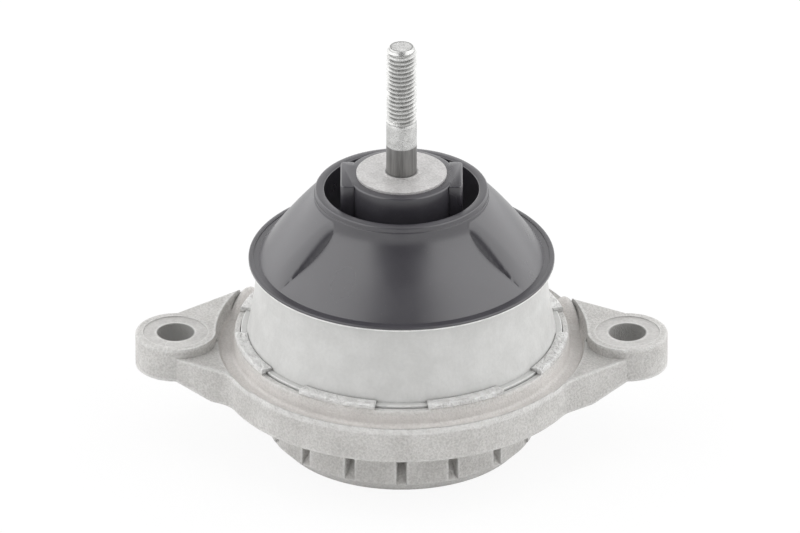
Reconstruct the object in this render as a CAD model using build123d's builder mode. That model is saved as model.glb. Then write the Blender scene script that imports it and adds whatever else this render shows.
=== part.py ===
from build123d import *
from math import atan2, cos, degrees, radians, sin, tan
import os

# Hydraulic engine mount: a die-cast ear flange with a ribbed cup, a steel sleeve
# staked into it, and a rubber spring that carries an aluminium core with a stud.
# Millimetres. +Z runs up the stud, X through the two ear holes, and the origin is
# the centre of the cup's underside.

# Ears
ear_spacing = 148.0
ear_hole_radius = 6.05
ear_radius = 13.2
spot_face_radius = 10.6
spot_face_depth = 0.3
ear_seat_z = 25.5
ear_seat_ramp = 12.5
plateau_z = 37.0
web_z = 33.9
web_drop = 1.0
right_front_angle = 27.3
right_back_angle = 23.0
left_front_angle = 22.0
left_back_angle = 30.5
ear_neck_half_width = 13.0
ear_blend_radius = 10.0

# Flange, channel and collar
flange_radius = 60.3
flange_bottom_z = 21.0
flange_top_z = 31.7
collar_root_radius = 58.0
collar_wall = 1.7
collar_draft = 0.7
collar_foot_radius = 1.2
collar_below_flange = 0.9
channel_radius = 59.3
channel_step_width = 1.6
channel_step_sag = 0.4
ear_edge_radius = 0.8

# Stakes that the collar's rim is rolled into, and the gaps between them, from the front
stake_gap_angles = (0, 47, 95, 138, 180, 222, 265, 313)
stake_gap_width = 18.6
stake_thickness = 1.2
stake_clearance = 0.1
stake_crown_radius = 0.7
stake_lip_height = 0.8

# Cup
cup_radius = 44.2
cup_bottom_radius = 40.2
cup_chamfer_height = 4.2
cup_wall = 3.0
cup_floor = 3.2
cup_inner_corner_radius = 4.0
vent_radius = 2.0
notch_count = 16
notch_floor_radius = 39.4
notch_floor_width = 1.6
notch_half_angle = 11.0
notch_foot_z = 3.4
notch_full_z = 10.0

# Stack that the stakes clamp, from the seat in the housing upwards
seat_z = 26.2
bead_height = 3.0
channel_plate_height = 5.2
cover_thickness = 1.6
sleeve_flange_thickness = 1.9
stack_clearance = 0.3

# Steel sleeve
sleeve_radius = 47.8
sleeve_wall = 2.2
sleeve_flare = 2.8
sleeve_foot_land = 2.0
sleeve_flare_z = 56.0
sleeve_flare_sag = 0.3
sleeve_top_z = 64.4
sleeve_lip_radius = 50.0
sleeve_lip_thickness = 1.0

# Rubber spring
rim_height = 0.8
rim_lip_width = 1.6
trough_radius = 46.6
trough_depth = 0.25
cone_top_z = 87.6
cone_sag = 1.8
ring_radius = 28.2
ring_bore_radius = 25.2
ring_top_z = 90.2
ring_edge_radius = 0.5
ring_lip_radius = 28.6
ring_lip_top_z = 88.4
arm_half_width = 22.0
arm_bulge = 0.6
cavity_floor_z = 73.0
cavity_corner_radius = 3.0
lining_thickness = 2.3
dome_foot_z = 46.0
dome_top_radius = 21.0
skin_thickness = 1.6
skin_top_z = 95.3

# Aluminium core
core_top_z = 96.1
core_disc_radius = 14.75
core_radius = 16.0
core_shoulder_z = 93.8
core_waist_z = 77.0
core_bottom_radius = 12.5
core_bottom_z = 60.0
core_edge_radius = 1.6
lug_half_length = 18.3
lug_half_width = 7.2
lug_bottom_z = 83.0
lug_corner_radius = 1.2
swage_radius = 5.9
swage_height = 0.5

# Stud
stud_radius = 5.0
stud_root_radius = 5.3
stud_top_z = 142.0
stud_tip_radius = 3.9
stud_tip_length = 2.0
stud_head_radius = 8.0
stud_head_thickness = 5.0
stud_depth = 26.0

# Inertia track, decoupler and bellows
track_inner_radius = 35.0
track_outer_radius = 43.0
track_floor = 1.4
track_gap_angle = 40.0
port_radius = 3.2
decoupler_radius = 27.0
decoupler_clearance = 0.4
grid_floor = 1.4
grid_hole_radius = 2.1
grid_ring_radii = (0.0, 7.5, 15.0, 22.0)
grid_ring_counts = (1, 6, 12, 18)
rivet_radius = 1.6
rivet_head_radius = 2.8
rivet_head_height = 0.8
rivet_count = 4
rivet_circle_radius = 31.0
rivet_start_angle = 45.0
bellows_wall = 2.0
bellows_bead_width = 6.6
bellows_side_gap = 1.5
bellows_inner_radius = 24.0
bellows_draft = 2.0
bellows_shoulder_z = 24.5
bellows_low_z = 9.0
bellows_high_z = 20.5
bellows_bend_radius = 4.0
insert_width = 3.0
insert_thickness = 1.2

# Levels and radii that follow from the sizes above
bead_top_z = seat_z + bead_height
channel_plate_top_z = bead_top_z + channel_plate_height
cover_top_z = channel_plate_top_z + cover_thickness
sleeve_flange_top_z = cover_top_z + sleeve_flange_thickness
collar_top_z = sleeve_flange_top_z - collar_below_flange
sleeve_foot_radius = sleeve_radius + sleeve_flare
stack_radius = sleeve_foot_radius + sleeve_foot_land
stack_bore_radius = stack_radius + stack_clearance
collar_top_radius = stack_bore_radius + collar_wall
collar_base_radius = collar_top_radius + collar_draft
sleeve_bore_radius = sleeve_radius - sleeve_wall
cup_bore_radius = notch_floor_radius - cup_wall
bellows_outer_radius = cup_bore_radius - bellows_side_gap - bellows_wall / 2
ear_x = ear_spacing / 2
ear_width = 2 * ear_radius
rubber_bottom_z = cover_top_z
rim_radius = sleeve_lip_radius
lining_radius = sleeve_bore_radius - lining_thickness
skin_radius = core_radius + skin_thickness
stud_head_z = core_top_z - stud_depth
stake_inner_radius = sleeve_foot_radius + stake_clearance
stake_top_z = sleeve_flange_top_z + stake_thickness
trough_z = sleeve_top_z + rim_height - trough_depth
bead_inner_radius = stack_radius - bellows_bead_width
recess_radius = decoupler_radius + decoupler_clearance
grid_top_z = bead_top_z + grid_floor
decoupler_top_z = channel_plate_top_z - decoupler_clearance


def flange_corner(angle):
    """Corner on the flange's edge at an angle from the line through the ear holes."""
    return flange_radius * cos(radians(angle)), flange_radius * sin(radians(angle))


def ear_face(front_angle, back_angle):
    """Plan of an ear on the right: a round end on a neck that spreads out to the flange."""
    with BuildSketch() as ear:
        with BuildLine():
            Polyline(
                (0, 0),
                flange_corner(-front_angle),
                (ear_x, -ear_neck_half_width),
                (ear_x, ear_neck_half_width),
                flange_corner(back_angle),
                close=True,
            )
        make_face()
        with Locations((ear_x, 0)):
            Circle(ear_radius)
    return ear.sketch


right_ear = ear_face(right_front_angle, right_back_angle)
left_ear = mirror(ear_face(left_front_angle, left_back_angle), about=Plane.YZ)
with BuildSketch() as ear_plan:
    Circle(flange_radius)
    add(right_ear)
    add(left_ear)

# Space over the lower web of each ear, cut round the boss of the bolt hole
with BuildPart() as web_pockets:
    with BuildSketch(Plane.XZ):
        with BuildLine():
            web_inner_x = collar_base_radius * cos(radians(right_front_angle))
            Polyline(
                (web_inner_x, web_z - web_drop),
                (ear_x, web_z),
                (ear_x + ear_radius, web_z),
                (ear_x + ear_radius, plateau_z),
                (web_inner_x, plateau_z),
                close=True,
            )
        make_face()
        mirror(about=Plane.YZ)
    extrude(amount=flange_radius)
    with BuildSketch(Plane.XY.offset(web_z - web_drop)):
        with Locations((ear_x, 0), (-ear_x, 0)):
            Circle(ear_radius)
    extrude(amount=plateau_z, mode=Mode.SUBTRACT)

# Groove between two of the cup's pads, with splayed sides and a floor that ramps out below
with BuildPart() as notch:
    notch_depth = 2 * (cup_radius - notch_floor_radius)
    notch_flare = notch_depth * tan(radians(notch_half_angle))
    with BuildSketch():
        with BuildLine():
            Polyline(
                (notch_floor_radius, -notch_floor_width / 2),
                (notch_floor_radius, notch_floor_width / 2),
                (notch_floor_radius + notch_depth, notch_floor_width / 2 + notch_flare),
                (notch_floor_radius + notch_depth, -notch_floor_width / 2 - notch_flare),
                close=True,
            )
        make_face()
    extrude(amount=flange_bottom_z)
    ramp_angle = degrees(atan2(cup_radius - notch_floor_radius, notch_full_z - notch_foot_z))
    ramp_normal = (cos(radians(ramp_angle)), 0, sin(radians(ramp_angle)))
    split(bisect_by=Plane(origin=(cup_radius, 0, notch_foot_z), z_dir=ramp_normal), keep=Keep.TOP)

with BuildPart() as housing:
    # Flange disc with both ears, at the full height of the ears
    with BuildSketch(Plane.XY.offset(flange_bottom_z)):
        add(ear_plan.sketch)
        corners = vertices().filter_by(lambda corner: abs(Vector(corner).length - flange_radius) < 0.01)
        fillet(corners, radius=ear_blend_radius)
    extrude(amount=plateau_z - flange_bottom_z)
    top_outline = edges().filter_by_position(Axis.Z, plateau_z, plateau_z)
    bottom_outline = edges().filter_by_position(Axis.Z, flange_bottom_z, flange_bottom_z)
    fillet(top_outline + bottom_outline, radius=ear_edge_radius)

    # Flat seat under each ear, with a ramp down to the flange's underside
    past_ear_x = ear_x + ear_width
    with BuildSketch(Plane.XZ):
        with BuildLine():
            Polyline(
                (ear_x - ear_seat_ramp, flange_bottom_z),
                (ear_x, ear_seat_z),
                (past_ear_x, ear_seat_z),
                (past_ear_x, flange_bottom_z),
                close=True,
            )
        make_face()
        mirror(about=Plane.YZ)
    extrude(amount=ear_width, both=True, mode=Mode.SUBTRACT)

    # Lower web along the front of each ear
    add(web_pockets.part, mode=Mode.SUBTRACT)

    # Channel round the collar, which the ears' tops fall into by a rounded step
    with BuildSketch(Plane.XZ):
        with BuildLine():
            channel_edge = (channel_radius, flange_top_z)
            step_edge = (channel_radius + channel_step_width, plateau_z)
            Polyline((0, plateau_z), (0, flange_top_z), channel_edge)
            SagittaArc(channel_edge, step_edge, -channel_step_sag)
            Line(step_edge, (0, plateau_z))
        make_face()
    revolve(axis=Axis.Z, mode=Mode.SUBTRACT)

    # Cup below the flange, with a groove between each pair of its pads
    with BuildSketch(Plane.XZ):
        with BuildLine():
            Polyline(
                (0, 0),
                (cup_bottom_radius, 0),
                (cup_radius, cup_chamfer_height),
                (cup_radius, flange_bottom_z),
                (0, flange_bottom_z),
                close=True,
            )
        make_face()
    revolve(axis=Axis.Z)
    with PolarLocations(0, notch_count, start_angle=-90):
        add(notch.part, mode=Mode.SUBTRACT)

    # Collar round the clamped stack, with its rim rolled over the sleeve's flange
    with BuildSketch(Plane.XZ):
        with BuildLine():
            Polyline(
                (bead_inner_radius, flange_bottom_z),
                (collar_root_radius, flange_bottom_z),
                (collar_root_radius, flange_top_z),
                (collar_base_radius, flange_top_z),
                (collar_top_radius, collar_top_z),
                (collar_top_radius, stake_top_z),
                (stake_inner_radius, sleeve_flange_top_z + stake_lip_height),
                (stake_inner_radius, sleeve_flange_top_z),
                (bead_inner_radius, sleeve_flange_top_z),
                close=True,
            )
        make_face()
        fillet(vertices().sort_by_distance((collar_base_radius, flange_top_z))[0], radius=collar_foot_radius)
        fillet(vertices().sort_by_distance((collar_top_radius, stake_top_z))[0], radius=stake_crown_radius)
    revolve(axis=Axis.Z)

    # Hollow of the cup, the seat for the stack and the vent in the floor
    with BuildSketch(Plane.XZ):
        with BuildLine():
            Polyline(
                (0, cup_floor),
                (cup_bore_radius, cup_floor),
                (cup_bore_radius, flange_bottom_z),
                (bead_inner_radius, seat_z),
                (stack_bore_radius, seat_z),
                (stack_bore_radius, sleeve_flange_top_z),
                (0, sleeve_flange_top_z),
                close=True,
            )
        make_face()
        fillet(vertices().sort_by_distance((cup_bore_radius, cup_floor))[0], radius=cup_inner_corner_radius)
    revolve(axis=Axis.Z, mode=Mode.SUBTRACT)
    with Locations((0, 0, cup_floor)):
        Hole(radius=vent_radius, depth=cup_floor)

    # Gaps that the staking tool left in the rolled rim
    for gap_angle in stake_gap_angles:
        with BuildSketch(Plane.XZ.rotated((0, 0, gap_angle - 90 - stake_gap_width / 2))):
            with BuildLine():
                Polyline(
                    (sleeve_radius, collar_top_z),
                    (flange_radius, collar_top_z),
                    (flange_radius, plateau_z + stake_top_z),
                    (sleeve_radius, plateau_z + stake_top_z),
                    close=True,
                )
            make_face()
        revolve(axis=Axis.Z, revolution_arc=stake_gap_width, mode=Mode.SUBTRACT)

    # Bolt holes, each in a machined spot face
    with Locations((ear_x, 0, plateau_z), (-ear_x, 0, plateau_z)):
        CounterBoreHole(
            radius=ear_hole_radius,
            counter_bore_radius=spot_face_radius,
            counter_bore_depth=spot_face_depth,
        )
housing.part.label = "housing"

with BuildPart() as outer_sleeve:
    with BuildSketch(Plane.XZ):
        with BuildLine():
            foot = (sleeve_foot_radius, sleeve_flange_top_z)
            flare_top = (sleeve_radius, sleeve_flare_z)
            Polyline(
                (sleeve_bore_radius, cover_top_z),
                (stack_radius, cover_top_z),
                (stack_radius, sleeve_flange_top_z),
                foot,
            )
            SagittaArc(foot, flare_top, sleeve_flare_sag)
            Polyline(
                flare_top,
                (sleeve_radius, sleeve_top_z - sleeve_lip_thickness),
                (sleeve_lip_radius, sleeve_top_z - sleeve_lip_thickness / 2),
                (sleeve_lip_radius, sleeve_top_z),
                (sleeve_bore_radius, sleeve_top_z),
                (sleeve_bore_radius, cover_top_z),
            )
        make_face()
    revolve(axis=Axis.Z)
outer_sleeve.part.label = "outer_sleeve"

with BuildPart() as stud:
    with BuildSketch(Plane.XZ):
        with BuildLine():
            Polyline(
                (0, stud_head_z),
                (stud_head_radius, stud_head_z),
                (stud_head_radius, stud_head_z + stud_head_thickness),
                (stud_root_radius, stud_head_z + stud_head_thickness),
                (stud_root_radius, core_top_z + swage_height),
                (stud_radius, core_top_z + swage_height),
                (stud_radius, stud_top_z - stud_tip_length),
                (stud_tip_radius, stud_top_z),
                (0, stud_top_z),
                close=True,
            )
        make_face()
    revolve(axis=Axis.Z)
stud.part.label = "stud"

with BuildPart() as inner_core:
    with BuildSketch(Plane.XZ):
        with BuildLine():
            Polyline(
                (0, core_bottom_z),
                (core_bottom_radius, core_bottom_z),
                (core_radius, core_waist_z),
                (core_radius, core_shoulder_z),
                (core_disc_radius, core_shoulder_z),
                (core_disc_radius, core_top_z),
                (swage_radius, core_top_z),
                (swage_radius, core_top_z + swage_height),
                (0, core_top_z + swage_height),
                close=True,
            )
        make_face()
        fillet(vertices().sort_by_distance((core_bottom_radius, core_bottom_z))[0], radius=core_edge_radius)
    revolve(axis=Axis.Z)

    # Stop lug on each side, under the rubber
    with BuildSketch(Plane.XY.offset(lug_bottom_z)):
        RectangleRounded(2 * lug_half_length, 2 * lug_half_width, lug_corner_radius)
    extrude(amount=core_shoulder_z - lug_bottom_z)
    add(stud.part, mode=Mode.SUBTRACT)
inner_core.part.label = "inner_core"

# Hollow in the front and the back of the cone, which leaves a thick leg of rubber on each side
cone_top = (ring_lip_radius, cone_top_z)
cone_foot = (trough_radius, trough_z)
with BuildPart() as cone_hollows:
    with BuildSketch(Plane.XZ):
        with BuildLine():
            SagittaArc(cone_foot, cone_top, cone_sag)
            Polyline(cone_top, (trough_radius, cone_top_z), cone_foot)
        make_face()
    revolve(axis=Axis.Z)
    with BuildSketch():
        Rectangle(2 * rim_radius, 2 * arm_half_width)
    extrude(amount=core_top_z, mode=Mode.SUBTRACT)

with BuildPart() as rubber_spring:
    with BuildSketch(Plane.XZ):
        with BuildLine():
            Polyline(
                (lining_radius, dome_foot_z),
                (lining_radius, rubber_bottom_z),
                (sleeve_bore_radius, rubber_bottom_z),
                (sleeve_bore_radius, sleeve_top_z),
                (rim_radius, sleeve_top_z),
                (rim_radius, sleeve_top_z + rim_height),
                (rim_radius - rim_lip_width, sleeve_top_z + rim_height),
                (rim_radius - rim_lip_width, trough_z),
                cone_foot,
            )
            SagittaArc(cone_foot, cone_top, -arm_bulge)
            Polyline(
                cone_top,
                (ring_lip_radius, ring_lip_top_z),
                (ring_radius, ring_lip_top_z),
                (ring_radius, ring_top_z),
                (ring_bore_radius, ring_top_z),
                (ring_bore_radius, cavity_floor_z),
                (skin_radius, cavity_floor_z),
                (skin_radius, skin_top_z),
                (0, skin_top_z),
                (0, core_bottom_z),
                (dome_top_radius, core_bottom_z),
                (lining_radius, dome_foot_z),
            )
        make_face()
        fillet(vertices().sort_by_distance((ring_bore_radius, cavity_floor_z))[0], radius=cavity_corner_radius)
        fillet(vertices().sort_by_distance((ring_radius, ring_top_z))[0], radius=ring_edge_radius)
    revolve(axis=Axis.Z)
    add(cone_hollows.part, mode=Mode.SUBTRACT)

    # Skin over the core's stop lugs
    with BuildSketch(Plane.XY.offset(lug_bottom_z - skin_thickness)):
        skin_length = 2 * (lug_half_length + skin_thickness)
        skin_width = 2 * (lug_half_width + skin_thickness)
        RectangleRounded(skin_length, skin_width, lug_corner_radius + skin_thickness)
    extrude(amount=skin_top_z - lug_bottom_z + skin_thickness)
    add(inner_core.part, mode=Mode.SUBTRACT)
    add(stud.part, mode=Mode.SUBTRACT)
rubber_spring.part.label = "rubber_spring"

# Holes of the grids above and below the decoupler, in rings
with BuildSketch() as grid_plan:
    for hole_ring_radius, hole_count in zip(grid_ring_radii, grid_ring_counts):
        with PolarLocations(hole_ring_radius, hole_count):
            Circle(grid_hole_radius)

# Rivet holes, in the land between the decoupler and the inertia track
with BuildSketch() as rivet_plan:
    with PolarLocations(rivet_circle_radius, rivet_count, start_angle=rivet_start_angle):
        Circle(rivet_radius)

# Inertia track, an arc that stops short of a full turn, with a port at each end
track_radius = (track_inner_radius + track_outer_radius) / 2
track_width = track_outer_radius - track_inner_radius
with BuildLine() as track_path:
    CenterArc((0, 0), track_radius, track_gap_angle / 2, 360 - track_gap_angle)

with BuildPart() as channel_plate:
    with BuildSketch(Plane.XY.offset(bead_top_z)):
        Circle(stack_radius)
    extrude(amount=channel_plate_height)
    with BuildSketch(Plane.XY.offset(bead_top_z + track_floor)):
        SlotArc(track_path.edge(), track_width)
    extrude(amount=channel_plate_height, mode=Mode.SUBTRACT)
    with BuildSketch(Plane.XY.offset(bead_top_z + grid_floor)):
        Circle(recess_radius)
    extrude(amount=channel_plate_height, mode=Mode.SUBTRACT)
    with BuildSketch(Plane.XY.offset(bead_top_z)):
        add(grid_plan.sketch)
        add(rivet_plan.sketch)
        with Locations(track_path.edge() @ 1):
            Circle(port_radius)
    extrude(amount=channel_plate_height, mode=Mode.SUBTRACT)
channel_plate.part.label = "channel_plate"

with BuildPart() as cover_plate:
    with BuildSketch(Plane.XY.offset(channel_plate_top_z)):
        Circle(stack_radius)
        add(grid_plan.sketch, mode=Mode.SUBTRACT)
        add(rivet_plan.sketch, mode=Mode.SUBTRACT)
        with Locations(track_path.edge() @ 0):
            Circle(port_radius, mode=Mode.SUBTRACT)
    extrude(amount=cover_thickness)
cover_plate.part.label = "cover_plate"

# Rubber disc that floats between the two grids
with BuildPart() as decoupler:
    with BuildSketch(Plane.XY.offset(grid_top_z)):
        Circle(decoupler_radius)
    extrude(amount=decoupler_top_z - grid_top_z)
decoupler.part.label = "decoupler"

# Rivets that hold the two plates together, headed on both faces
with BuildPart() as plate_rivets:
    with BuildSketch(Plane.XY.offset(bead_top_z)):
        add(rivet_plan.sketch)
    extrude(amount=cover_top_z - bead_top_z)
    for head_z, head_way in ((bead_top_z, -1), (cover_top_z, 1)):
        with BuildSketch(Plane.XY.offset(head_z)):
            with PolarLocations(rivet_circle_radius, rivet_count, start_angle=rivet_start_angle):
                Circle(rivet_head_radius)
        extrude(amount=head_way * rivet_head_height)
plate_rivets.part.label = "plate_rivets"

# Steel ring moulded into the bellows' bead
with BuildPart() as bead_ring:
    bead_middle_z = seat_z + bead_height / 2
    bead_middle_radius = (bead_inner_radius + stack_radius) / 2
    with BuildSketch(Plane.XZ):
        with Locations((bead_middle_radius, bead_middle_z)):
            Rectangle(insert_width, insert_thickness)
    revolve(axis=Axis.Z)
bead_ring.part.label = "bead_ring"

# Bellows that closes the lower chamber, one deep fold round a raised middle
with BuildPart() as bellows:
    with BuildSketch(Plane.XZ):
        with BuildLine() as fold:
            FilletPolyline(
                (bead_inner_radius + bellows_wall / 2, bead_middle_z),
                (bellows_outer_radius, bellows_shoulder_z),
                (bellows_outer_radius - bellows_draft, bellows_low_z),
                (bellows_inner_radius, bellows_low_z),
                (bellows_inner_radius - bellows_draft, bellows_high_z),
                (0, bellows_high_z),
                radius=bellows_bend_radius,
            )
        trace(fold.line, line_width=bellows_wall)
        with Locations((bead_middle_radius, bead_middle_z)):
            Rectangle(bellows_bead_width, bead_height)
            Rectangle(insert_width, insert_thickness, mode=Mode.SUBTRACT)
    revolve(axis=Axis.Z)
bellows.part.label = "bellows"

pieces = (
    housing,
    outer_sleeve,
    rubber_spring,
    inner_core,
    stud,
    cover_plate,
    channel_plate,
    plate_rivets,
    decoupler,
    bellows,
    bead_ring,
)
os.makedirs("parts", exist_ok=True)
for piece in pieces:
    export_step(piece.part, f"parts/{piece.part.label}.step")
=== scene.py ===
import bpy
import bmesh
import math
from mathutils import Matrix, Vector


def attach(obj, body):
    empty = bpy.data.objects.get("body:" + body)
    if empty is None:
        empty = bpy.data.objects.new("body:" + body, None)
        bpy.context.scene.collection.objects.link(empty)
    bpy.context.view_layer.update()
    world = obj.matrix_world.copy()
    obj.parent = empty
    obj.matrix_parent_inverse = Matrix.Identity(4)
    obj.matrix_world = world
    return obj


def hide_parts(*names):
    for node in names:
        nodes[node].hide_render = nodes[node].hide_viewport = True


# Hydraulic engine mount, dressed over its CAD frame.
# Blender works in metres. Sizes of pieces and finishes are millimetres, times mm where they are used;
# those of the studio and the camera are metres.

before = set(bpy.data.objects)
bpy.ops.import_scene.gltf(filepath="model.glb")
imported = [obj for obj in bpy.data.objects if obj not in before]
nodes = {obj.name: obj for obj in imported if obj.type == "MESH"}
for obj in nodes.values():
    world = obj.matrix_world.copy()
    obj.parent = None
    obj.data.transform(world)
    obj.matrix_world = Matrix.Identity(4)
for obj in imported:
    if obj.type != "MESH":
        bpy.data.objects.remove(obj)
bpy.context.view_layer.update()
scene = bpy.context.scene
mm = 0.001
fullTurn = 2 * math.pi
print("frame loaded,", len(nodes), "nodes")


# Mesh helpers

# Edges through (radius, height) points in the XZ plane.
def wireLoop(bm, points, closed=True):
    verts = [bm.verts.new((r * mm, 0, z * mm)) for r, z in points]
    pairs = list(zip(verts, verts[1:]))
    if closed:
        pairs.append((verts[-1], verts[0]))
    return [bm.edges.new(pair) for pair in pairs]


def vertsOf(edges):
    return list(dict.fromkeys(v for e in edges for v in e.verts))


def nearestVert(bm, r, z):
    spot = Vector((r * mm, 0, z * mm))
    return min(bm.verts, key=lambda v: (v.co - spot).length)


def roundOff(bm, geom, size, segments, affect="EDGES"):
    bmesh.ops.bevel(
        bm, geom=geom, offset=size * mm, offset_type="OFFSET",
        affect=affect, segments=segments, profile=0.5, material=-1,
    )


def roundCorner(bm, r, z, size, segments=4):
    roundOff(bm, [nearestVert(bm, r, z)], size, segments, affect="VERTICES")


# Turns edges round Z, rising by lift metres each step; one full turn closes on itself.
def spinEdges(bm, edges, steps, angle=fullTurn, lift=0.0):
    bmesh.ops.spin(
        bm, geom=vertsOf(edges) + edges, cent=(0, 0, 0), axis=(0, 0, 1), dvec=(0, 0, lift),
        angle=angle, steps=steps, use_merge=angle == fullTurn, use_duplicate=False,
    )


# Joins vertices that lie within gap, in mm, and turns the faces outwards.
def closeSkin(bm, gap=0.002):
    bmesh.ops.remove_doubles(bm, verts=bm.verts[:], dist=gap * mm)
    bmesh.ops.recalc_face_normals(bm, faces=bm.faces[:])


def fillEnds(bm):
    bmesh.ops.holes_fill(bm, edges=[e for e in bm.edges if e.is_boundary], sides=0)


def finishPiece(bm, name, material, slotName, *stoodFor, sharpDegrees=35):
    mesh = bpy.data.meshes.new(name)
    bm.to_mesh(mesh)
    bm.free()
    piece = bpy.data.objects.new(name, mesh)
    scene.collection.objects.link(piece)
    mesh.materials.append(material)
    mesh.shade_smooth()
    mesh.set_sharp_from_angle(angle=math.radians(sharpDegrees))
    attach(piece, "root")
    if stoodFor:
        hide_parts(*stoodFor)
    print("piece made:", name, len(mesh.polygons), "faces")


# Node helpers

def place(tree, kind, values=None, links=None, **settings):
    node = tree.nodes.new("ShaderNode" + kind)
    for name, value in settings.items():
        setattr(node, name, value)
    for name, value in (values or {}).items():
        node.inputs[name].default_value = value
    for name, source in (links or {}).items():
        tree.links.new(source, node.inputs[name])
    return node


# Gives a socket a number or a colour, or links another socket to it.
def feed(tree, socket, term):
    if isinstance(term, (int, float)):
        socket.default_value = term
    elif isinstance(term, tuple):
        socket.default_value = (*term, 1.0)
    else:
        tree.links.new(term, socket)


def maths(tree, operation, *terms, clamp=False):
    node = place(tree, "Math", operation=operation, use_clamp=clamp)
    for socket, term in zip(node.inputs, terms):
        feed(tree, socket, term)
    return node.outputs[0]


# 0 below low and 1 above high; low may be the larger, which turns the step round.
def softStep(tree, value, low, high):
    node = place(
        tree, "MapRange", {"From Min": low, "From Max": high, "To Min": 0.0, "To Max": 1.0},
        {"Value": value}, interpolation_type="SMOOTHSTEP", clamp=True,
    )
    return node.outputs["Result"]


# A Mix node has sockets of one name for several kinds, so each is found by its kind too.
def blend(tree, dataType, kind, factor, first, second):
    node = place(tree, "Mix", data_type=dataType)
    for name, wanted, term in (("Factor", "VALUE", factor), ("A", kind, first), ("B", kind, second)):
        feed(tree, next(s for s in node.inputs if s.name == name and s.type == wanted), term)
    return next(s for s in node.outputs if s.type == kind)


def blendColours(tree, factor, first, second):
    return blend(tree, "RGBA", "RGBA", factor, first, second)


def blendValues(tree, factor, first, second):
    return blend(tree, "FLOAT", "VALUE", factor, first, second)


# Outputs of a noise texture; scale is a number or a socket.
def noise(tree, vector, scale, detail, roughness=0.5, distortion=0.0):
    values = {"Detail": detail, "Roughness": roughness, "Distortion": distortion}
    node = place(tree, "TexNoise", values, {"Vector": vector})
    feed(tree, node.inputs["Scale"], scale)
    return node.outputs


# An empty shader node group; a socket is (name, kind, start value).
def openGroup(name, inputs, outputs):
    tree = bpy.data.node_groups.new(name, "ShaderNodeTree")
    for socketName, kind, start in inputs:
        socket = tree.interface.new_socket(name=socketName, in_out="INPUT", socket_type="NodeSocket" + kind)
        if start is not None:
            socket.default_value = start
    for socketName, kind in outputs:
        tree.interface.new_socket(name=socketName, in_out="OUTPUT", socket_type="NodeSocket" + kind)
    entry = tree.nodes.new("NodeGroupInput").outputs
    leave = tree.nodes.new("NodeGroupOutput").inputs
    return tree, entry, leave


def useGroup(tree, group, values=None, links=None):
    return place(tree, "Group", values, links, node_tree=group).outputs


# Shader groups that several finishes share

grainLimits = {"patch": (0.32, 0.68), "grain": (0.3, 0.7), "grainRoughness": 0.65, "patchRelief": 0.25}


# Mottled colour, roughness and height of a cast or plated metal skin.
def makeGrainField(limits):
    tree, entry, leave = openGroup(
        "grainField",
        [
            ("Vector", "Vector", None), ("Light", "Color", (0.6, 0.6, 0.6, 1)),
            ("Dark", "Color", (0.5, 0.5, 0.5, 1)), ("Patch Scale", "Float", 60.0),
            ("Grain Scale", "Float", 1400.0), ("Grain Share", "Float", 0.5),
            ("Roughness", "Float", 0.5), ("Roughness Spread", "Float", 0.1),
        ],
        [("Color", "Color"), ("Roughness", "Float"), ("Height", "Float")],
    )
    patches = noise(tree, entry["Vector"], entry["Patch Scale"], 3.0)
    grain = noise(tree, entry["Vector"], entry["Grain Scale"], 3.0, limits["grainRoughness"])
    patchPart = softStep(tree, patches["Fac"], *limits["patch"])
    grainPart = softStep(tree, grain["Fac"], *limits["grain"])
    shade = blendValues(tree, entry["Grain Share"], patchPart, grainPart)
    tree.links.new(blendColours(tree, shade, entry["Dark"], entry["Light"]), leave["Color"])
    spread = maths(tree, "MULTIPLY", maths(tree, "SUBTRACT", 0.5, shade), entry["Roughness Spread"])
    tree.links.new(maths(tree, "ADD", entry["Roughness"], spread), leave["Roughness"])
    height = maths(tree, "ADD", maths(tree, "MULTIPLY", patchPart, limits["patchRelief"]), grainPart)
    tree.links.new(height, leave["Height"])
    return tree


# 1 inside a circle about Z, or about two centres at plus and minus Centre X.
def makeRoundMask():
    tree, entry, leave = openGroup(
        "roundMask",
        [
            ("Vector", "Vector", None), ("Centre X", "Float", 0.0),
            ("Radius", "Float", 0.01), ("Softness", "Float", 0.0002),
        ],
        [("Mask", "Float"), ("Distance", "Float")],
    )
    axes = place(tree, "SeparateXYZ", links={"Vector": entry["Vector"]}).outputs
    away = maths(tree, "SUBTRACT", maths(tree, "ABSOLUTE", axes["X"]), entry["Centre X"])
    squares = [maths(tree, "MULTIPLY", part, part) for part in (away, axes["Y"])]
    distance = maths(tree, "SQRT", maths(tree, "ADD", *squares))
    inside = maths(tree, "DIVIDE", maths(tree, "SUBTRACT", entry["Radius"], distance), entry["Softness"])
    tree.links.new(maths(tree, "ADD", inside, 0.5, clamp=True), leave["Mask"])
    tree.links.new(distance, leave["Distance"])
    return tree


markLimits = {"waverScale": 300.0, "waver": 5.0}


# Fine concentric lines that a cutter leaves, from the distance to their centre.
def makeToolMarks(limits):
    tree, entry, leave = openGroup(
        "toolMarks",
        [("Vector", "Vector", None), ("Distance", "Float", 0.0), ("Pitch", "Float", 0.0004)],
        [("Height", "Float")],
    )
    waver = noise(tree, entry["Vector"], limits["waverScale"], 2.0)["Fac"]
    turns = maths(tree, "DIVIDE", entry["Distance"], entry["Pitch"])
    phase = maths(
        tree, "ADD", maths(tree, "MULTIPLY", turns, fullTurn), maths(tree, "MULTIPLY", waver, limits["waver"]),
    )
    tree.links.new(maths(tree, "MULTIPLY_ADD", maths(tree, "SINE", phase), 0.5, 0.5), leave["Height"])
    return tree


scuffLimits = {
    "bendScale": 25.0, "bend": 0.02, "gateScale": 55.0, "gate": (0.55, 0.68),
    "line": (0.012, 0.002), "lineRoughness": 0.4, "lineDistortion": 0.6,
}


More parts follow.
